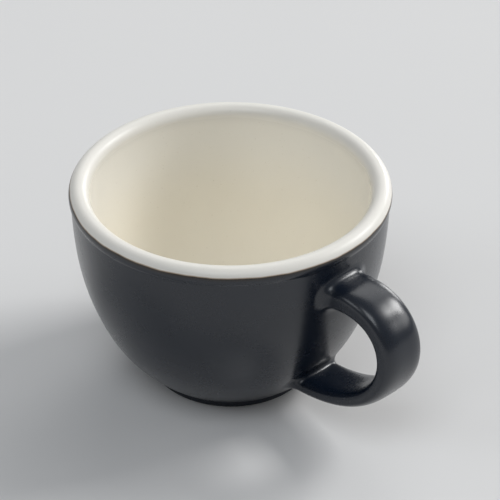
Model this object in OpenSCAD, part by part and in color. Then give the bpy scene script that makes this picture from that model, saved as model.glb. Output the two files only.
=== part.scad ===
// Stoneware coffee cup: a turned bowl with a foot ring and a luted strap handle, glazed in two colours.
// Millimetres, +Z up. The origin is on the bowl's axis, on the table. The handle points along +X.

/* [Bowl] */
// Height from the table to the top of the lip
cup_h = 63.5; // [57:0.5:72]
// Outside diameter over the lip
rim_d = 93.2; // [87:0.1:101]
// Thickness of the wall
wall_t = 5.3; // [4.3:0.1:6.3]
// How far the rounded lip stands out from the wall's face
lip_out = 0.6; // [0.4:0.05:1]
// Radius of the hollow under the lip
lip_hollow_r = 1.5; // [1:0.1:3]
// Turn of the wall from upright at the end of its upper arc, in degrees
upper_turn = 6.4; // [4.4:0.2:8.4]
// Turn of the wall at the end of its middle arc
middle_turn = 24.7; // [20.7:0.2:28.7]
// Turn of the wall where it reaches the foot
foot_turn = 51.9; // [46.9:0.2:56.9]
// Radius of the upper arc over the radius of the middle arc
upper_over_middle = 1.875; // [1.4:0.025:2.4]
// Thickness of the floor above the foot's recess
floor_t = 5.5; // [4.5:0.1:7]
// Radius of the bend from the wall to the floor inside
floor_bend_r = 17; // [12:0.5:20]

/* [Foot] */
// Outside diameter of the foot ring
foot_d = 48; // [42:0.5:54]
// Height of the foot ring
foot_h = 2; // [1.6:0.1:3.5]
// Step from the wall's end in to the foot's side
foot_step = 0.25; // [0.1:0.05:0.6]
// Width of the foot ring
foot_ring_w = 4.4; // [3.4:0.1:6]
// Height of the recess inside the ring
recess_h = 2.4; // [1.8:0.1:3.2]
// Radius of the cove round the recess
recess_cove_r = 1.4; // [0.8:0.1:1.6]
// Ease of the ring's outer and inner edges
foot_edge = 0.4; // [0.2:0.1:0.8]

/* [Glaze] */
// Thickness of each glaze coat
coat_t = 0.4; // [0.25:0.05:0.6]
// Where the two glazes meet on the lip, in degrees above its widest point
glaze_line_a = 20; // [4:1:40]
// Height above the table to which the foot is wiped bare
wipe_h = 0.3; // [0.2:0.05:0.8]

/* [Handle] */
// Distance from the top of the lip down to the upper joint
upper_joint_drop = 14.9; // [13:0.1:18]
// Rise of the handle as it leaves the upper joint, in degrees
upper_joint_a = 14.5; // [5:0.5:22]
// Pull of the upper joint on the handle's curve
upper_pull = 31.2; // [24:0.1:34]
// Height of the lower joint above the table
lower_joint_z = 12.8; // [11:0.1:16]
// Rise of the handle as it leaves the lower joint, in degrees
lower_joint_a = 2.5; // [-4:0.5:10]
// Pull of the lower joint on the handle's curve
lower_pull = 42.9; // [34:0.1:48]
// Width of the strap at the upper joint
strap_w_upper = 14.7; // [12:0.1:16]
// Width of the strap at its middle
strap_w_middle = 14.4; // [12:0.1:16]
// Width of the strap at the lower joint
strap_w_lower = 15.5; // [12:0.1:17]
// Thickness of the strap at the upper joint
strap_t_upper = 7.8; // [6:0.1:9]
// Thickness of the strap at its middle
strap_t_middle = 6.4; // [5:0.1:7]
// Thickness of the strap at the lower joint
strap_t_lower = 4.5; // [4:0.1:6.5]
// Squareness of the strap's section: 2 is an ellipse, larger is squarer
strap_power = 3.2; // [2.5:0.1:5]
// Reach of the slip fillets beside the strap's narrow sides
fillet_side = 3.6; // [2:0.1:4.5]
// Reach of the slip fillets on the strap's broad faces
fillet_face = 3.3; // [1.8:0.1:3.6]

/* [Hidden] */
$fn = 256;

clay_colour = [0.80, 0.74, 0.65];
cream_colour = [0.91, 0.89, 0.83];
charcoal_colour = [0.19, 0.20, 0.22];

// Bowl: the rim, the lip and the foot
rim_r = rim_d / 2;
wall_r = rim_r - lip_out;
lip_r = (wall_t + lip_out) / 2;
wall_top = cup_h - lip_r;
lip_centre = [rim_r - lip_r, wall_top];
foot_r = foot_d / 2;
neck_r = foot_r + foot_step;
floor_z = recess_h + floor_t;
// A length past every edge, for cutting shapes
far = rim_d + cup_h;

// The outer wall is three tangent arcs. Their turns are set, and their radii are solved so that the wall
// runs from under the lip, where it is upright, to the neck above the foot.
rise_middle = (upper_over_middle - 1) * sin(upper_turn) + sin(middle_turn);
rise_lower = sin(foot_turn) - sin(middle_turn);
run_middle = upper_over_middle * (1 - cos(upper_turn)) + cos(upper_turn) - cos(middle_turn);
run_lower = cos(middle_turn) - cos(foot_turn);
wall_rise = wall_top - foot_h;
wall_run = wall_r - neck_r;
solve = rise_middle * run_lower - rise_lower * run_middle;
middle_r = snap((wall_rise * run_lower - rise_lower * wall_run) / solve);
lower_r = snap((rise_middle * wall_run - run_middle * wall_rise) / solve);
upper_r = snap(upper_over_middle * middle_r);
upper_c = [wall_r - upper_r, wall_top];
middle_c = snap(upper_c + (upper_r - middle_r) * turned(upper_turn));
lower_c = snap(middle_c + (middle_r - lower_r) * turned(middle_turn));

// The hollow under the lip is tangent to the lip and to the upper arc
hollow_gap = lip_centre.x - upper_c.x;
hollow_from_wall = upper_r + lip_hollow_r;
hollow_from_lip = lip_r + lip_hollow_r;
hollow_x = (hollow_from_wall ^ 2 - hollow_from_lip ^ 2 + hollow_gap ^ 2) / (2 * hollow_gap);
hollow_c = snap(upper_c + [hollow_x, -sqrt(hollow_from_wall ^ 2 - hollow_x ^ 2)]);

// Inside, the bend is tangent to the floor and to the wall's lower arc
bend_z = floor_z + floor_bend_r;
bend_gap = lower_r - wall_t - floor_bend_r;
bend_c = [snap(lower_c.x + sqrt(bend_gap ^ 2 - (lower_c.y - bend_z) ^ 2)), bend_z];
bend_turn = asin((lower_c.y - bend_z) / bend_gap);

// Handle: counts of the loft, the joints' search spans along the spine, and the fillet's form
strap_sides = 28;
strap_rings = 36;
fillet_steps = 6;
search_steps = 30;
upper_span = [-0.12, 0.25];
lower_span = [1.12, 0.75];
// Lift of the fillet's corner point as a share of its reach
fillet_lift = 0.12;
// How far the slip's skirt sinks into the wall, and how far its edge lies under the bowl's face
skirt_depth = 3 * coat_t;
edge_sink = coat_t / 8;
// Share of the strap's half size left at the slip's hidden end
core_share = 0.4;
// How far the handle's clay runs into the bowl before it is cut to fit, along the spine
root_run = 0.02;

upper_joint = [outer_r(cup_h - upper_joint_drop), cup_h - upper_joint_drop];
lower_joint = [outer_r(lower_joint_z), lower_joint_z];
spine = [
    upper_joint,
    upper_joint + upper_pull * [cos(upper_joint_a), sin(upper_joint_a)],
    lower_joint + lower_pull * [cos(lower_joint_a), sin(lower_joint_a)],
    lower_joint
];
angles = [for (i = [0:strap_sides - 1]) 360 * i / strap_sides];
// Where each line along the strap's surface meets the bowl
upper_meets = [for (u = angles) meet(u, upper_span[0], upper_span[1], search_steps)];
lower_meets = [for (u = angles) meet(u, lower_span[0], lower_span[1], search_steps)];
// Where each fillet's upper edge lies on the strap, along the spine
upper_tops = [for (i = [0:strap_sides - 1]) upper_meets[i] + run_up(angles[i], upper_meets[i])];
lower_tops = [for (i = [0:strap_sides - 1]) lower_meets[i] - run_up(angles[i], lower_meets[i])];

// A length or a point to the nearest thousandth, so that neighbouring shapes share their edges
function snap(v) = is_list(v) ? [for (x = v) snap(x)] : round(v * 1000) / 1000;
// Unit vector turned downward from +X by an angle
function turned(a) = [cos(a), -sin(a)];
function unit(v) = v / norm(v);
function mean(points) = [for (k = [0:2]) [for (p = points) p[k]] * [for (p = points) 1] / len(points)];
function bent(v, power) = sign(v) * pow(abs(v), power);
// A smooth value that passes through a at 0, m at one half and b at 1
function through(a, m, b, t) = 2 * a * (t - 0.5) * (t - 1) + 4 * m * t * (1 - t) + 2 * b * t * (t - 0.5);

// Heights at which the hollow and the wall's arcs begin and end, with the face moved out by a distance
function hollow_top(out) = snap(wall_top + (lip_r + out) * unit(hollow_c - lip_centre).y);
function hollow_end(out) = snap(wall_top + (upper_r + out) * unit(hollow_c - upper_c).y);
function upper_end(out) = snap(upper_c.y - (upper_r + out) * sin(upper_turn));
function middle_end(out) = snap(middle_c.y - (middle_r + out) * sin(middle_turn));
function lower_end(out) = snap(lower_c.y - (lower_r + out) * sin(foot_turn));
function bend_end(out) = snap(lower_c.y - (lower_r + out) * sin(bend_turn));

// The outer wall at a height: its arc's centre and radius, its own radius, and its outward normal at a point
function arc_at(z) =
    z > upper_end(0) ? [upper_c, upper_r] :
    z > middle_end(0) ? [middle_c, middle_r] : [lower_c, lower_r];
function outer_r(z) = let (a = arc_at(z)) a[0].x + sqrt(a[1] ^ 2 - (z - a[0].y) ^ 2);
function outer_normal(p) =
    let (a = arc_at(p.z), s = (p.z - a[0].y) / a[1], c = sqrt(1 - s ^ 2), r = norm([p.x, p.y]))
    [c * p.x / r, c * p.y / r, s];
// The point of the outer wall level with p, sunk in by a depth
function onto_wall(p, sink) =
    let (k = (outer_r(p.z) - sink) / norm([p.x, p.y])) [k * p.x, k * p.y, p.z];

// The strap's spine, in the plane of X and Z, and its slope
function spine_at(t) =
    (1 - t) ^ 3 * spine[0] + 3 * (1 - t) ^ 2 * t * spine[1] + 3 * (1 - t) * t ^ 2 * spine[2] + t ^ 3 * spine[3];
function spine_slope(t) =
    3 * (1 - t) ^ 2 * (spine[1] - spine[0]) + 6 * (1 - t) * t * (spine[2] - spine[1])
    + 3 * t ^ 2 * (spine[3] - spine[2]);
function half_w(t) = through(strap_w_upper, strap_w_middle, strap_w_lower, t) / 2;
function half_t(t) = through(strap_t_upper, strap_t_middle, strap_t_lower, t) / 2;
// A vector of the strap's section, from its parts across the width and away from the loop
function lifted(across, away, t) =
    let (d = unit(spine_slope(t))) [-d.y * away, across, d.x * away];
// A point of the strap's surface, moved out by a distance, and the surface's normal there
function strap_at(u, t, out) =
    let (s = spine_at(t), p = 2 / strap_power)
    [s.x, 0, s.y]
    + lifted((half_w(t) + out) * bent(cos(u), p), (half_t(t) + out) * bent(sin(u), p), t);
function strap_normal(u, t) =
    let (p = 2 - 2 / strap_power) unit(lifted(bent(cos(u), p) / half_w(t), bent(sin(u), p) / half_t(t), t));
// Where a line along the strap meets the bowl, by halving a span that starts inside the bowl
function meet(u, inside, outside, steps) =
    let (t = (inside + outside) / 2, p = strap_at(u, t, 0))
    steps == 0 ? t :
    norm([p.x, p.y]) > outer_r(p.z) ? meet(u, inside, t, steps - 1) : meet(u, t, outside, steps - 1);

// The strap's rings, from one set of spine places to another
function strap_rows(from, to, out) =
    [for (i = [0:strap_rings]) [for (j = [0:strap_sides - 1])
        strap_at(angles[j], from[j] + (to[j] - from[j]) * i / strap_rings, out)]];
function shifted(places, by) = [for (t = places) t + by];
function reversed(rows) = [for (i = [len(rows) - 1:-1:0]) rows[i]];

// How far a fillet reaches from its corner, and how much of the spine that takes
function fillet_reach(u) = norm([fillet_side * cos(u), fillet_face * sin(u)]);
function run_up(u, t) = fillet_reach(u) / norm(spine_slope(t));
// One line of a joint's fillet: down the strap, round the bend, and out on the bowl
function fillet_line(u, t_meet, t_top) =
    let (
        q = strap_at(u, t_meet, 0), n = outer_normal(q), s = strap_normal(u, t_meet),
        along = unit(s - (s * n) * n), top = strap_at(u, t_top, 0),
        foot = onto_wall(q + fillet_reach(u) * along, edge_sink),
        corner = q + fillet_lift * ((top - q) + (foot - q))
    )
    [for (k = [0:fillet_steps]) let (v = k / fillet_steps)
        (1 - v) ^ 2 * top + 2 * v * (1 - v) * corner + v ^ 2 * foot];
// The rows of a joint's slip: a hidden end in the handle, the fillet, and a skirt sunk in the bowl's wall
function slip_rows(meets, tops) =
    let (lines = [for (j = [0:strap_sides - 1]) fillet_line(angles[j], meets[j], tops[j])])
    concat(
        [[for (j = [0:strap_sides - 1]) strap_at(angles[j], tops[j], (core_share - 1) * half_t(tops[j]))]],
        [for (k = [0:fillet_steps]) [for (line = lines) line[k]]],
        [[for (line = lines) let (p = line[fillet_steps]) p - skirt_depth * outer_normal(p)]]
    );

// Triangles between rows of points, the last row joined to the first if the rows close
function row_faces(rows, sides, closed) =
    [for (i = [0:rows - (closed ? 1 : 2)]) for (j = [0:sides - 1])
        let (a = i * sides, b = (i + 1) % rows * sides, k = (j + 1) % sides)
        for (face = [[a + j, b + k, a + k], [a + j, b + j, b + k]]) face];
// Triangles from a row to one point at its middle
function fan(start, sides, tip, turn) =
    [for (j = [0:sides - 1]) let (a = start + j, b = start + (j + 1) % sides) turn ? [a, tip, b] : [a, b, tip]];
function joined(rows) = [for (row = rows) for (p = row) p];

// A solid from rows of points with both ends capped
module capped(rows) {
    sides = len(rows[0]);
    last = len(rows) - 1;
    tip = len(rows) * sides;
    points = concat(joined(rows), [mean(rows[0]), mean(rows[last])]);
    polyhedron(points, concat(
        row_faces(len(rows), sides, false),
        fan(0, sides, tip, false),
        fan(last * sides, sides, tip + 1, true)
    ));
}

// A closed sleeve from rows that come back to the first
module sleeve(rows) {
    polyhedron(joined(rows), row_faces(len(rows), len(rows[0]), true));
}

// The part of a disc between two heights, to the right of the axis
module band(centre, radius, low, high) {
    intersection() {
        translate(centre) circle(radius);
        translate([0, low]) square([far, high - low]);
    }
}

// Everything inside the bowl's outer face below the lip's widest point, foot included, with the face moved out
// by a distance
module outer_field(out) {
    band(lip_centre, lip_r + out, hollow_top(out), wall_top);
    translate([0, hollow_top(out)]) square([lip_centre.x, wall_top - hollow_top(out)]);
    difference() {
        translate([0, hollow_end(out)]) square([hollow_c.x, hollow_top(out) - hollow_end(out)]);
        translate(hollow_c) circle(lip_hollow_r - out);
    }
    band(upper_c, upper_r + out, upper_end(out), hollow_end(out));
    band(middle_c, middle_r + out, middle_end(out), upper_end(out));
    band(lower_c, lower_r + out, lower_end(out), middle_end(out));
    square([foot_r + out, lower_end(out)]);
}

// The space inside the cup below the lip, with its face moved out by a distance
module inner_field(out) {
    inset = out - wall_t;
    band(upper_c, upper_r + inset, upper_end(inset), wall_top);
    band(middle_c, middle_r + inset, middle_end(inset), upper_end(inset));
    band(lower_c, lower_r + inset, bend_end(inset), middle_end(inset));
    band(bend_c, floor_bend_r + out, floor_z - out, bend_end(inset));
    translate([0, floor_z - out]) square([bend_c.x, bend_end(inset) - floor_z + out]);
}

// The recess under the cup, with its face moved out by a distance
module recess_field(out) {
    cove_c = [foot_r - foot_ring_w - recess_cove_r, recess_h - recess_cove_r];
    square([cove_c.x, recess_h + out]);
    square([cove_c.x + recess_cove_r + out, cove_c.y]);
    translate(cove_c) intersection() {
        circle(recess_cove_r + out);
        square(far);
    }
}

// The upper half of the lip's disc, with its face moved out by a distance
module lip_field(out) {
    intersection() {
        translate(lip_centre) circle(lip_r + out);
        translate([0, wall_top]) square(far);
    }
}

// The lip's glaze between two angles about the lip's centre
module lip_coat(from, to) {
    middle = (from + to) / 2;
    intersection() {
        difference() {
            lip_field(0);
            lip_field(-coat_t);
        }
        translate(lip_centre)
            polygon([[0, 0], for (a = [from, middle, to]) wall_t * [cos(a), sin(a)] / cos((to - from) / 2)]);
    }
}

// What eases the foot ring's two edges
module foot_edges() {
    inner = foot_r - foot_ring_w + coat_t;
    outer = foot_r - coat_t;
    polygon([[inner, 0], [inner + foot_edge, 0], [inner, foot_edge]]);
    polygon([[outer, 0], [outer - foot_edge, 0], [outer, foot_edge]]);
}

module clay_profile() {
    difference() {
        union() {
            outer_field(-coat_t);
            lip_field(-coat_t);
        }
        inner_field(coat_t);
        recess_field(coat_t);
        foot_edges();
    }
}

module liner_profile() {
    difference() {
        inner_field(coat_t);
        inner_field(0);
    }
    lip_coat(glaze_line_a, 180);
}

module outer_coat_profile() {
    difference() {
        outer_field(0);
        outer_field(-coat_t);
        square([far, wipe_h]);
    }
    lip_coat(0, glaze_line_a);
}

module base_coat_profile() {
    difference() {
        recess_field(coat_t);
        recess_field(0);
        square([far, wipe_h]);
    }
}

// The whole bowl as a filled solid, with its face moved out by a distance
module bowl_block(out) {
    rotate_extrude() outer_field(out);
}

// The slip of each joint before the clay is cut out of it, its rows in order along the spine
module upper_slip_block() {
    capped(reversed(slip_rows(upper_meets, upper_tops)));
}

module lower_slip_block() {
    capped(slip_rows(lower_meets, lower_tops));
}

module stoneware_body() {
    color(clay_colour) rotate_extrude() clay_profile();
}

// The clay strap, cut to the bowl with the slip's bed between them
module handle() {
    color(clay_colour) difference() {
        capped(strap_rows(shifted(upper_meets, -root_run), shifted(lower_meets, root_run), -coat_t));
        bowl_block(0);
    }
}

module upper_luting_slip() {
    color(charcoal_colour) difference() {
        upper_slip_block();
        bowl_block(-coat_t);
        handle();
    }
}

module lower_luting_slip() {
    color(charcoal_colour) difference() {
        lower_slip_block();
        bowl_block(-coat_t);
        handle();
    }
}

module liner_glaze() {
    color(cream_colour) rotate_extrude() liner_profile();
}

module outer_glaze() {
    color(charcoal_colour) difference() {
        rotate_extrude() outer_coat_profile();
        upper_slip_block();
        lower_slip_block();
    }
}

// The coat round the strap, from the top of one fillet to the top of the other
module handle_glaze() {
    outside = strap_rows(upper_tops, lower_tops, 0);
    inside = strap_rows(upper_tops, lower_tops, -coat_t);
    color(charcoal_colour) sleeve(concat(outside, reversed(inside)));
}

module base_glaze() {
    color(charcoal_colour) rotate_extrude() base_coat_profile();
}

stoneware_body();
handle();
upper_luting_slip();
lower_luting_slip();
liner_glaze();
outer_glaze();
handle_glaze();
base_glaze();
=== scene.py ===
# Stoneware coffee cup: its glaze coats, clay and strap handle on a plain pale floor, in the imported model's frame.
import math
import bpy
import numpy as np
from mathutils import Matrix, Vector


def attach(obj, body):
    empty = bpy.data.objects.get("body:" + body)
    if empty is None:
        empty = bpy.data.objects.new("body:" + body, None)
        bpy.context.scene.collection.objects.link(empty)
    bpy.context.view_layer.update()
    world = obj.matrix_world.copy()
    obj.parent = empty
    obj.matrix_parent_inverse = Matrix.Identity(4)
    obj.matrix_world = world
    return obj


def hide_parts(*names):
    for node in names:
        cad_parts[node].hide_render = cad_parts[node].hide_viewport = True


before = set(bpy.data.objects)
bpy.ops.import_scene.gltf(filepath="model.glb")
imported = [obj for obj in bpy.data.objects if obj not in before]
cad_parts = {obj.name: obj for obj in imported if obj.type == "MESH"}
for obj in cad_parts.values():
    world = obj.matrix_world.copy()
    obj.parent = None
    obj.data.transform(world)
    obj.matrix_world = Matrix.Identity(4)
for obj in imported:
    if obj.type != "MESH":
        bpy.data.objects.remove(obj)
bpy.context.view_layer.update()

MM = 0.001

# Sizes of the bowl, in millimetres and radians, as the solids have them.
CUP_H, RIM_R, WALL, COAT = 63.5, 46.6, 5.3, 0.4
LIP_OUT, HOLLOW_R = 0.6, 1.5
FOOT_R, FOOT_H, FOOT_STEP, WIPE_H = 24.0, 2.0, 0.25, 0.3
RECESS_H, FLOOR_T, BEND_R = 2.4, 5.5, 17.0
TURNS = [math.radians(a) for a in (6.4, 24.7, 51.9)]
UPPER_OVER_MIDDLE = 1.875
GLAZE_LINE = math.radians(20)

# Sizes of the handle: at its upper and lower joint, or at the strap's start, middle and end.
JOINT_Z = (48.6, 12.8)
JOINT_A = (math.radians(14.5), math.radians(2.5))
JOINT_PULL = (31.2, 42.9)
STRAP_W = (14.7, 14.4, 15.5)
STRAP_T = (7.8, 6.4, 4.5)
SECTION_POWER = 3.2
FILLET_SIDE, FILLET_FACE = 3.6, 3.3
FILLET_SINK, ROOT_DEPTH = 0.02, 1.0

# How finely the meshes are divided, and the angle in degrees from which an edge is sharp.
LIP_OUTSIDE_POINTS, LIP_INSIDE_POINTS, HOLLOW_POINTS = 18, 36, 12
WALL_POINTS = (14, 22, 24)
BEND_POINTS, FLOOR_POINTS = 20, 10
LATHE_SIDES = 288
STRAP_SIDES, STRAP_RINGS, FILLET_STEPS = 96, 110, 14
COAT_SHARP, STRAP_SHARP = 40, 50


# The bowl's lines, in radius and height
def turned(a):
    """Unit vector turned downward from the outward direction."""
    return np.array([math.cos(a), -math.sin(a)])


# The outer wall: three tangent arcs, their radii solved from the rise and the run.
WALL_R = RIM_R - LIP_OUT
LIP_R = (WALL + LIP_OUT) / 2
LIP_C = np.array([RIM_R - LIP_R, CUP_H - LIP_R])
sines, cosines = [math.sin(a) for a in TURNS], [math.cos(a) for a in TURNS]
system = np.array([
    [(UPPER_OVER_MIDDLE - 1) * sines[0] + sines[1], sines[2] - sines[1]],
    [UPPER_OVER_MIDDLE * (1 - cosines[0]) + cosines[0] - cosines[1], cosines[1] - cosines[2]],
])
middle_r, lower_r = np.linalg.solve(system, [LIP_C[1] - FOOT_H, WALL_R - FOOT_R - FOOT_STEP])
ARC_R = [UPPER_OVER_MIDDLE * middle_r, middle_r, lower_r]
ARC_C = [np.array([WALL_R - ARC_R[0], LIP_C[1]])]
ARC_C.append(ARC_C[0] + (ARC_R[0] - ARC_R[1]) * turned(TURNS[0]))
ARC_C.append(ARC_C[1] + (ARC_R[1] - ARC_R[2]) * turned(TURNS[1]))
ARC_END_Z = [ARC_C[i][1] - ARC_R[i] * sines[i] for i in range(3)]

# The bend inside: an arc tangent to the wall's inner face and to the floor.
FLOOR_Z = RECESS_H + FLOOR_T
bend_gap = ARC_R[2] - WALL - BEND_R
bend_drop = ARC_C[2][1] - FLOOR_Z - BEND_R
BEND_C = np.array([ARC_C[2][0] + math.sqrt(bend_gap ** 2 - bend_drop ** 2), FLOOR_Z + BEND_R])
BEND_TURN = math.asin(bend_drop / bend_gap)

# The hollow under the lip: an arc tangent to the lip and to the wall.
hollow_gap, from_wall, from_lip = LIP_C[0] - ARC_C[0][0], ARC_R[0] + HOLLOW_R, LIP_R + HOLLOW_R
hollow_x = (from_wall ** 2 - from_lip ** 2 + hollow_gap ** 2) / (2 * hollow_gap)
HOLLOW_C = ARC_C[0] + np.array([hollow_x, -math.sqrt(from_wall ** 2 - hollow_x ** 2)])
LIP_TURN = math.atan2(LIP_C[1] - HOLLOW_C[1], HOLLOW_C[0] - LIP_C[0])
HOLLOW_TURN = math.asin((ARC_C[0][1] - HOLLOW_C[1]) / from_wall)


def arc(centre, radius, start, end, count):
    return [centre + radius * turned(a) for a in np.linspace(start, end, count)]


def wall_line(out, first_turn, last_turn):
    """The wall's face, moved out by a distance, between a turn of its upper arc and a turn of its lower arc."""
    turns, line = [first_turn, TURNS[0], TURNS[1], last_turn], []
    for i, count in enumerate(WALL_POINTS):
        points = arc(ARC_C[i], ARC_R[i] + out, turns[i], turns[i + 1], count)
        line += points[1:] if line else points
    return line


def lip_line(out, start, end, count):
    """The lip's face between two angles above its widest point."""
    return arc(LIP_C, LIP_R + out, -start, -end, count)


def outer_line(out):
    """The outer face, from the glaze line on the lip down to the wiped foot."""
    lip = lip_line(out, GLAZE_LINE, -LIP_TURN, LIP_OUTSIDE_POINTS)
    hollow = arc(HOLLOW_C, HOLLOW_R - out, math.pi + LIP_TURN, math.pi + HOLLOW_TURN, HOLLOW_POINTS)[1:-1]
    wall = wall_line(out, HOLLOW_TURN, TURNS[2])
    foot = [np.array([FOOT_R + out, z]) for z in (wall[-1][1], WIPE_H)]
    return lip + hollow + wall + foot


def inner_line(inset):
    """The liner's face, from the glaze line over the lip and down to the middle of the floor."""
    lip = lip_line(-inset, GLAZE_LINE, math.pi, LIP_INSIDE_POINTS)[:-1]
    wall = wall_line(inset - WALL, 0, BEND_TURN)
    bend = arc(BEND_C, BEND_R + inset, BEND_TURN, math.pi / 2, BEND_POINTS)[1:]
    floor_run = [np.array([r, FLOOR_Z - inset]) for r in np.linspace(BEND_C[0], 0, FLOOR_POINTS)[1:]]
    return lip + wall + bend + floor_run


def new_piece(name, points, faces, material, sharp_deg):
    mesh = bpy.data.meshes.new(name)
    mesh.from_pydata([tuple(MM * np.asarray(p)) for p in points], [], faces)
    mesh.polygons.foreach_set("use_smooth", [True] * len(mesh.polygons))
    mesh.set_sharp_from_angle(angle=math.radians(sharp_deg))
    mesh.materials.append(material)
    piece = bpy.data.objects.new(name, mesh)
    bpy.context.scene.collection.objects.link(piece)
    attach(piece, "root")
    return piece


def lathe(name, line, material):
    """A turned piece from a closed line of radius and height. A point on the axis becomes a single pole."""
    on_axis = 1e-6
    points, rows = [], []
    for r, z in line:
        start = len(points)
        if r < on_axis:
            points.append((0, 0, z))
            rows.append([start] * LATHE_SIDES)
            continue
        for k in range(LATHE_SIDES):
            a = 2 * math.pi * k / LATHE_SIDES
            points.append((r * math.cos(a), r * math.sin(a), z))
        rows.append(list(range(start, start + LATHE_SIDES)))
    faces = []
    for a, b in zip(rows, rows[1:] + rows[:1]):
        for k in range(LATHE_SIDES):
            j = (k + 1) % LATHE_SIDES
            face = list(dict.fromkeys((a[k], b[k], b[j], a[j])))
            if len(face) > 2:
                faces.append(face)
    return new_piece(name, points, faces, material, COAT_SHARP)


# The handle's spine, section and joints
def wall_arc(z):
    """Which of the wall's three arcs a height is on."""
    return 0 if z > ARC_END_Z[0] else 1 if z > ARC_END_Z[1] else 2


def outer_r(z):
    i = wall_arc(z)
    return ARC_C[i][0] + math.sqrt(ARC_R[i] ** 2 - (z - ARC_C[i][1]) ** 2)


def outer_normal(p):
    i = wall_arc(p[2])
    s = (p[2] - ARC_C[i][1]) / ARC_R[i]
    c = math.sqrt(1 - s * s)
    r = math.hypot(p[0], p[1])
    return np.array([c * p[0] / r, c * p[1] / r, s])


def cubic(a, b, c, d, t):
    """A point of the smooth curve that leaves a toward b and reaches d from c."""
    s = 1 - t
    return s ** 3 * a + 3 * s * s * t * b + 3 * s * t * t * c + t ** 3 * d


# The spine starts at the upper joint, at t = 0, and ends at the lower one, at t = 1.
UPPER_END, LOWER_END = [np.array([outer_r(z), z]) for z in JOINT_Z]
UPPER_PULL, LOWER_PULL = [
    end + pull * np.array([math.cos(a), math.sin(a)])
    for end, pull, a in zip((UPPER_END, LOWER_END), JOINT_PULL, JOINT_A)
]
SPINE = [UPPER_END, UPPER_PULL, LOWER_PULL, LOWER_END]


def spine_slope(t):
    s = 1 - t
    return 3 * s * s * (SPINE[1] - SPINE[0]) + 6 * s * t * (SPINE[2] - SPINE[1]) + 3 * t * t * (SPINE[3] - SPINE[2])


def through(values, t):
    """A size along the strap, from those at its start, middle and end."""
    a, m, b = values
    return 2 * a * (t - 0.5) * (t - 1) + 4 * m * t * (1 - t) + 2 * b * t * (t - 0.5)


def lifted(across, away, t):
    """A vector across the strap and away from its spine, in the cup's frame."""
    d = spine_slope(t)
    d = d / np.linalg.norm(d)
    return np.array([-d[1] * away, across, d[0] * away])


def bent(v, power):
    return math.copysign(abs(v) ** power, v)


def strap_at(u, t):
    s, p = cubic(*SPINE, t), 2 / SECTION_POWER
    across = through(STRAP_W, t) / 2 * bent(math.cos(u), p)
    away = through(STRAP_T, t) / 2 * bent(math.sin(u), p)
    return np.array([s[0], 0, s[1]]) + lifted(across, away, t)


def strap_normal(u, t):
    p = 2 - 2 / SECTION_POWER
    n = lifted(bent(math.cos(u), p) / through(STRAP_W, t), bent(math.sin(u), p) / through(STRAP_T, t), t)
    return n / np.linalg.norm(n)


def meet(u, inside, outside):
    """Where a line of the strap comes out of the bowl, halved down from a place inside and one outside."""
    halvings = 40
    for _ in range(halvings):
        t = (inside + outside) / 2
        p = strap_at(u, t)
        if math.hypot(p[0], p[1]) > outer_r(p[2]):
            outside = t
        else:
            inside = t
    return t


def fillet_line(u, t_meet, side):
    """One line of a joint's fillet, from the strap down its bend and out on the bowl, and where it leaves the strap."""
    corner_ease, pull, small_step = 0.04, 2 / 3, 0.001
    reach = math.hypot(FILLET_SIDE * math.cos(u), FILLET_FACE * math.sin(u))
    t_top = t_meet + side * reach / np.linalg.norm(spine_slope(t_meet))
    q, n, s = strap_at(u, t_meet), outer_normal(strap_at(u, t_meet)), strap_normal(u, t_meet)
    along = s - (s @ n) * n
    top = strap_at(u, t_top)
    foot = q + reach * along / np.linalg.norm(along)
    k = (outer_r(foot[2]) - FILLET_SINK) / math.hypot(foot[0], foot[1])
    foot = np.array([k * foot[0], k * foot[1], foot[2]])
    corner = q + corner_ease * (top + foot - 2 * q)
    # The line leaves the strap along it and runs out on the bowl's tangent plane.
    down = strap_at(u, t_top - small_step * side) - top
    skim = corner - foot
    skim = skim - (skim @ outer_normal(foot)) * outer_normal(foot)
    first = top + pull * np.linalg.norm(corner - top) * down / np.linalg.norm(down)
    second = foot + pull * np.linalg.norm(corner - foot) * skim / np.linalg.norm(skim)
    return [cubic(top, first, second, foot, v) for v in np.linspace(0, 1, FILLET_STEPS + 1)], t_top


def section_angles(count):
    """Angles round the strap's section, spread so that points lie about evenly along it, and closer at its bends."""
    samples, run_per_turn = 4001, 4.0
    u, p = np.linspace(0, 2 * math.pi, samples), 2 / SECTION_POWER
    x = STRAP_W[1] * np.sign(np.cos(u)) * np.abs(np.cos(u)) ** p
    y = STRAP_T[1] * np.sign(np.sin(u)) * np.abs(np.sin(u)) ** p
    run = np.concatenate([[0], np.cumsum(np.hypot(np.diff(x), np.diff(y)))])
    turn = np.unwrap(np.arctan2(np.diff(y), np.diff(x)))
    run[1:] += run_per_turn * (turn - turn[0])
    return np.interp(np.linspace(0, run[-1], count, endpoint=False), run, u)


def sunk(row):
    return [p - ROOT_DEPTH * outer_normal(p) for p in row]


def handle_rows():
    """Rings of points from the upper fillet along the strap to the lower one, sunk in the bowl at both ends."""
    upper_reach, lower_reach = (-0.12, 0.25), (1.12, 0.75)
    angles = section_angles(STRAP_SIDES)
    upper = [fillet_line(u, meet(u, *upper_reach), 1) for u in angles]
    lower = [fillet_line(u, meet(u, *lower_reach), -1) for u in angles]
    rows = [[line[k] for line, _ in upper] for k in range(FILLET_STEPS, 0, -1)]
    for i in range(STRAP_RINGS + 1):
        rows.append([
            strap_at(u, start + (end - start) * i / STRAP_RINGS)
            for u, (_, start), (_, end) in zip(angles, upper, lower)
        ])
    rows += [[line[k] for line, _ in lower] for k in range(1, FILLET_STEPS + 1)]
    return [sunk(rows[0])] + rows + [sunk(rows[-1])]


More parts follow.
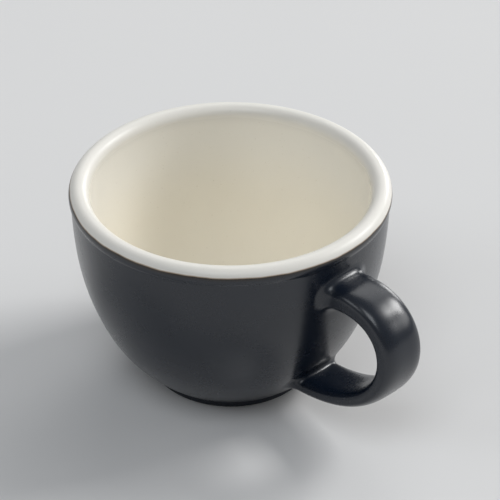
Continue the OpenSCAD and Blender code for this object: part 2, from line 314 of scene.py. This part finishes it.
def loft(name, rows, material):
    count = len(rows[0])
    points = [p for row in rows for p in row]
    faces = []
    for i in range(len(rows) - 1):
        for j in range(count):
            k = (j + 1) % count
            faces.append([i * count + j, i * count + k, (i + 1) * count + k, (i + 1) * count + j])
    return new_piece(name, points, faces, material, STRAP_SHARP)


# Colours. A pair is the two ends of a cloudy mix.
CHARCOAL, CHARCOAL_SPECK = ((0.0040, 0.0076, 0.0155), (0.0052, 0.0092, 0.0178)), (0.035, 0.035, 0.037)
# BROWN_AND_PAINTED_SHADE is partly real brown where the glazes overlap thin, and partly painted shade under the cream's
# edge.
BROWN_AND_PAINTED_SHADE, THIN_TAN = (0.013, 0.009, 0.006), (0.34, 0.25, 0.17)
CREAM, CREAM_SPECK = ((0.878, 0.829, 0.716), (0.898, 0.849, 0.736)), (0.55, 0.47, 0.36)
# PAINTED_LIGHT_UPPER_CREAM is painted light: a lighter, paler copy of the cream for the upper inner wall, while the
# deep bowl keeps the warmer, shaded copy.
PAINTED_LIGHT_UPPER_CREAM, LIP_CREAM = (0.900, 0.874, 0.806), (0.808, 0.785, 0.732)
CLAY, GROG = ((0.44, 0.345, 0.25), (0.54, 0.44, 0.33)), (0.20, 0.14, 0.095)
TABLE = (0.690, 0.686, 0.684), (0.710, 0.706, 0.704)

# Heights and radii on the cup, in metres, over which a look changes into the next.
UPPER_Z, LIP_Z, LIP_OUTSIDE_R = (0.030, 0.056), (0.0575, 0.0620), (0.0440, 0.0446)

# The line where the two glazes meet on the lip: its height, a tilt toward the photograph's left, where it rises, and
# how far it wanders. LEFT is how far left a metre of x or y goes, so that the lip's leftmost point is at 1.
LEFT, LINE_TILT, LINE_WANDER = (-14.8, -15.6), 0.00017, 0.0005
LINE_RISE_AT, LINE_Z = (0.85, 1.0), (0.0615, 0.06185)
# BROWN_AND_SHADE_UNDER spans the dark brown band, which is partly painted shade under the cream's edge.
BROWN_AND_SHADE_UNDER, TAN_UNDER, CREAM_OVER = (-0.0010, -0.0003), (-0.00015, 0.0001), (0.0000, 0.0004)

# The part of a noise's range that a cloudy mix takes up.
CLOUDY = (0.3, 0.7)


class Nodes:
    """A material's node tree, with short ways to add and join nodes."""

    def __init__(self, name):
        self.material = bpy.data.materials.new(name)
        self.material.use_nodes = True
        self.tree = self.material.node_tree
        self.shader = self.tree.nodes["Principled BSDF"]
        self.place = self.add("ShaderNodeTexCoord").outputs["Object"]

    def add(self, kind, **settings):
        node = self.tree.nodes.new(kind)
        for key, value in settings.items():
            setattr(node, key, value)
        return node

    def join(self, source, target):
        if isinstance(source, (int, float, tuple)):
            target.default_value = source
        else:
            self.tree.links.new(source, target)

    def look(self, **sources):
        """Joins to the shader's sockets, which are named with _ for each space."""
        for key, source in sources.items():
            self.join(source, self.shader.inputs[key.replace("_", " ")])

    def noise(self, scale, detail, rough=0.5):
        node = self.add("ShaderNodeTexNoise")
        node.inputs["Scale"].default_value = scale
        node.inputs["Detail"].default_value = detail
        node.inputs["Roughness"].default_value = rough
        self.join(self.place, node.inputs["Vector"])
        return node.outputs["Fac"]

    def fade(self, value, span, result=(0.0, 1.0)):
        node = self.add("ShaderNodeMapRange", interpolation_type="SMOOTHSTEP")
        for key, v in zip(("From Min", "From Max", "To Min", "To Max"), (*span, *result)):
            node.inputs[key].default_value = v
        self.join(value, node.inputs["Value"])
        return node.outputs["Result"]

    def math(self, operation, a, b):
        node = self.add("ShaderNodeMath", operation=operation)
        self.join(a, node.inputs[0])
        self.join(b, node.inputs[1])
        return node.outputs[0]

    def mix(self, share, a, b):
        node = self.add("ShaderNodeMix", data_type="RGBA")
        self.join(share, node.inputs["Factor"])
        for key, colour in (("A", a), ("B", b)):
            self.join((*colour, 1.0) if isinstance(colour, tuple) else colour, node.inputs[key])
        return node.outputs["Result"]

    def xyz(self):
        node = self.add("ShaderNodeSeparateXYZ")
        self.join(self.place, node.inputs[0])
        return node.outputs

    def bump(self, value, depth, normal=None):
        node = self.add("ShaderNodeBump")
        node.inputs["Strength"].default_value = 1.0
        node.inputs["Distance"].default_value = depth
        self.join(value, node.inputs["Height"])
        if normal is not None:
            self.join(normal, node.inputs["Normal"])
        return node.outputs["Normal"]

    def radius(self):
        x, y, _ = self.xyz()
        square = self.math("ADD", self.math("MULTIPLY", x, x), self.math("MULTIPLY", y, y))
        return self.math("POWER", square, 0.5)

    def above_line(self):
        """Height over the line where the two glazes meet, tilted up toward the view's left and a little uneven."""
        x, y, z = self.xyz()
        side = self.math("ADD", self.math("MULTIPLY", x, LEFT[0]), self.math("MULTIPLY", y, LEFT[1]))
        line = self.math("ADD", self.math("MULTIPLY", side, LINE_TILT), self.fade(side, LINE_RISE_AT, LINE_Z))
        centred = self.math("SUBTRACT", self.noise(scale=130, detail=2), 0.5)
        return self.math("ADD", self.math("SUBTRACT", z, line), self.math("MULTIPLY", centred, LINE_WANDER))

    def broken_and_shaded(self, rise, below, above):
        """A glaze that breaks to dark brown, partly painted shade under the cream's edge, and to tan at the very edge,
        where it runs thin under the cream.
        """
        colour = self.mix(self.fade(rise, BROWN_AND_SHADE_UNDER), below, BROWN_AND_PAINTED_SHADE)
        colour = self.mix(self.fade(rise, TAN_UNDER), colour, THIN_TAN)
        return self.mix(self.fade(rise, CREAM_OVER), colour, above)


def charcoal_glaze():
    n = Nodes("charcoal_glaze")
    cloud, grain = n.noise(scale=60, detail=3), n.noise(scale=700, detail=3)
    specks = n.fade(n.noise(scale=2400, detail=1), (0.66, 0.80), (0.0, 0.30))
    colour = n.mix(specks, n.mix(n.fade(cloud, CLOUDY), *CHARCOAL), CHARCOAL_SPECK)
    grained = n.math("ADD", cloud, n.math("MULTIPLY", grain, 0.4))
    pores = n.bump(n.noise(scale=1500, detail=2), depth=0.000006)
    # Under the cream line the coat turns to a dark brown band, partly painted shade under the cream's edge.
    n.look(
        Base_Color=n.broken_and_shaded(n.above_line(), colour, LIP_CREAM),
        Roughness=n.fade(grained, (0.4, 1.0), (0.25, 0.30)),
        IOR=1.56, Coat_Weight=0.25, Coat_IOR=1.3, Coat_Roughness=0.18,
        Normal=n.bump(n.noise(scale=110, detail=2), depth=0.00006, normal=pores),
    )
    return n.material


def cream_glaze():
    n = Nodes("cream_glaze")
    cloud, z = n.noise(scale=45, detail=3), n.xyz()[2]
    specks = n.fade(n.noise(scale=1500, detail=1), (0.70, 0.82), (0.0, 0.25))
    colour = n.mix(n.fade(cloud, CLOUDY), *CREAM)
    # Painted light: the upper inner wall turns lighter and paler than the warmer, shaded deep bowl.
    colour = n.mix(n.fade(z, UPPER_Z), colour, PAINTED_LIGHT_UPPER_CREAM)
    colour = n.mix(n.fade(z, LIP_Z), colour, LIP_CREAM)
    colour = n.mix(specks, colour, CREAM_SPECK)
    outside = n.fade(n.radius(), LIP_OUTSIDE_R)
    lip_satin = n.fade(z, LIP_Z, (0.0, 0.14))
    # On the lip's outside, the charcoal under the line turns to a dark brown band, partly painted shade under the
    # cream's edge.
    n.look(
        Base_Color=n.mix(outside, colour, n.broken_and_shaded(n.above_line(), CHARCOAL[1], colour)),
        Roughness=n.math("ADD", n.fade(cloud, CLOUDY, (0.16, 0.21)), lip_satin),
        Specular_IOR_Level=0.35, IOR=1.5,
        Normal=n.bump(n.noise(scale=70, detail=1), depth=0.00008),
    )
    return n.material


def bare_stoneware():
    n = Nodes("bare_stoneware")
    cloud = n.noise(scale=150, detail=4, rough=0.6)
    grog = n.fade(n.noise(scale=1800, detail=2), (0.62, 0.72), (0.0, 0.7))
    n.look(
        Base_Color=n.mix(grog, n.mix(n.fade(cloud, CLOUDY), *CLAY), GROG),
        Roughness=n.fade(cloud, CLOUDY, (0.75, 0.9)),
        Normal=n.bump(n.noise(scale=1600, detail=3), depth=0.00008),
    )
    return n.material


def pale_floor():
    n = Nodes("pale_floor")
    n.look(Base_Color=n.mix(n.noise(scale=6, detail=2), *TABLE), Roughness=0.85, Specular_IOR_Level=0.2)
    return n.material


charcoal, cream, clay = charcoal_glaze(), cream_glaze(), bare_stoneware()

# Pieces
bowl_coat = lathe("charcoal_bowl_coat", outer_line(0) + outer_line(-COAT)[::-1], charcoal)
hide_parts("outer_glaze")

liner = lathe("cream_liner", inner_line(0) + inner_line(COAT)[::-1], cream)
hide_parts("liner_glaze")

handle_coat = loft("charcoal_handle_coat", handle_rows(), charcoal)
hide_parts("handle_glaze", "upper_luting_slip", "lower_luting_slip")

for name, material in (("stoneware_body", clay), ("handle", clay), ("base_glaze", charcoal)):
    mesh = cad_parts[name].data
    mesh.materials.clear()
    mesh.materials.append(material)

# Floor, light and camera, set out in metres in the photograph's directions: x to the right, y away, z up.
VIEW_TURN = math.radians(46.5)
FLOOR_HALF, LAMP_DISTANCE, LAMP_AIM = 6, 5, (0, 0, 0.03)
NEUTRAL, COOL = (1.0, 0.998, 0.99), (0.92, 0.96, 1.0)


def from_view(x, y, z):
    c, s = math.cos(VIEW_TURN), math.sin(VIEW_TURN)
    return Vector((x * c - y * s, x * s + y * c, z))


floor_mesh = bpy.data.meshes.new("floor")
floor_corners = [(x * FLOOR_HALF, y * FLOOR_HALF, 0) for x, y in ((-1, -1), (1, -1), (1, 1), (-1, 1))]
floor_mesh.from_pydata(floor_corners, [], [(0, 1, 2, 3)])
floor_mesh.materials.append(pale_floor())
floor = bpy.data.objects.new("floor", floor_mesh)
bpy.context.scene.collection.objects.link(floor)


def softbox(name, azimuth, elevation, width, height, power, colour):
    """A lamp aimed at the cup, its azimuth in degrees turned from the right toward the back."""
    light = bpy.data.lights.new(name, "AREA")
    light.shape, light.size, light.size_y = "RECTANGLE", width, height
    light.energy, light.color = power, colour
    lamp = bpy.data.objects.new(name, light)
    bpy.context.scene.collection.objects.link(lamp)
    a, e = math.radians(azimuth), math.radians(elevation)
    lamp.location = from_view(
        LAMP_DISTANCE * math.cos(a) * math.cos(e),
        LAMP_DISTANCE * math.sin(a) * math.cos(e),
        LAMP_DISTANCE * math.sin(e),
    )
    lamp.rotation_mode = "QUATERNION"
    lamp.rotation_quaternion = (from_view(*LAMP_AIM) - lamp.location).to_track_quat("-Z", "Y")


# Name, azimuth, elevation, width, height, power in watts, colour
softbox("key", 26, 41, 1.8, 1.5, 129, NEUTRAL)
softbox("key_low", 8, 26, 2.4, 1.6, 36, NEUTRAL)
softbox("back_low", 60, 14, 1.8, 1.6, 52, NEUTRAL)
softbox("back_high", 78, 46, 3.2, 2.2, 33, NEUTRAL)
softbox("fill", 252, 60, 2.4, 2.4, 54, COOL)
softbox("side", 195, 35, 2.0, 1.6, 20, COOL)

world = bpy.data.worlds.new("studio")
world.use_nodes = True
sky = world.node_tree.nodes["Background"]
sky.inputs["Color"].default_value = (0.94, 0.97, 1.0, 1.0)
sky.inputs["Strength"].default_value = 0.24
bpy.context.scene.world = world


def photo_camera():
    """The camera at the photograph's viewing angle, aimed a little off the cup's base."""
    elevation, distance = 0.6418, 0.72596
    yaw, pitch, roll = 0.0079, 0.0451, -0.0037
    place = Vector((0, -distance * math.cos(elevation), distance * math.sin(elevation)))
    ahead = -place.normalized()
    right = Vector((1, 0, 0))
    up = right.cross(ahead)
    right, up = (
        math.cos(roll) * right + math.sin(roll) * up,
        -math.sin(roll) * right + math.cos(roll) * up,
    )
    ahead = (
        ahead * math.cos(yaw) * math.cos(pitch) + right * math.sin(yaw) * math.cos(pitch) + up * math.sin(pitch)
    ).normalized()
    right = ahead.cross(up).normalized()
    up = right.cross(ahead)
    axes = [from_view(*v) for v in (right, up, -ahead)]
    data = bpy.data.cameras.new("camera")
    data.sensor_width, data.lens = 36.0, 172.8
    data.clip_start, data.clip_end = 0.01, 50.0
    camera = bpy.data.objects.new("camera", data)
    bpy.context.scene.collection.objects.link(camera)
    camera.matrix_world = Matrix.Translation(from_view(*place)) @ Matrix(axes).transposed().to_4x4()
    bpy.context.scene.camera = camera


photo_camera()
bpy.context.scene.view_settings.view_transform = "Standard"
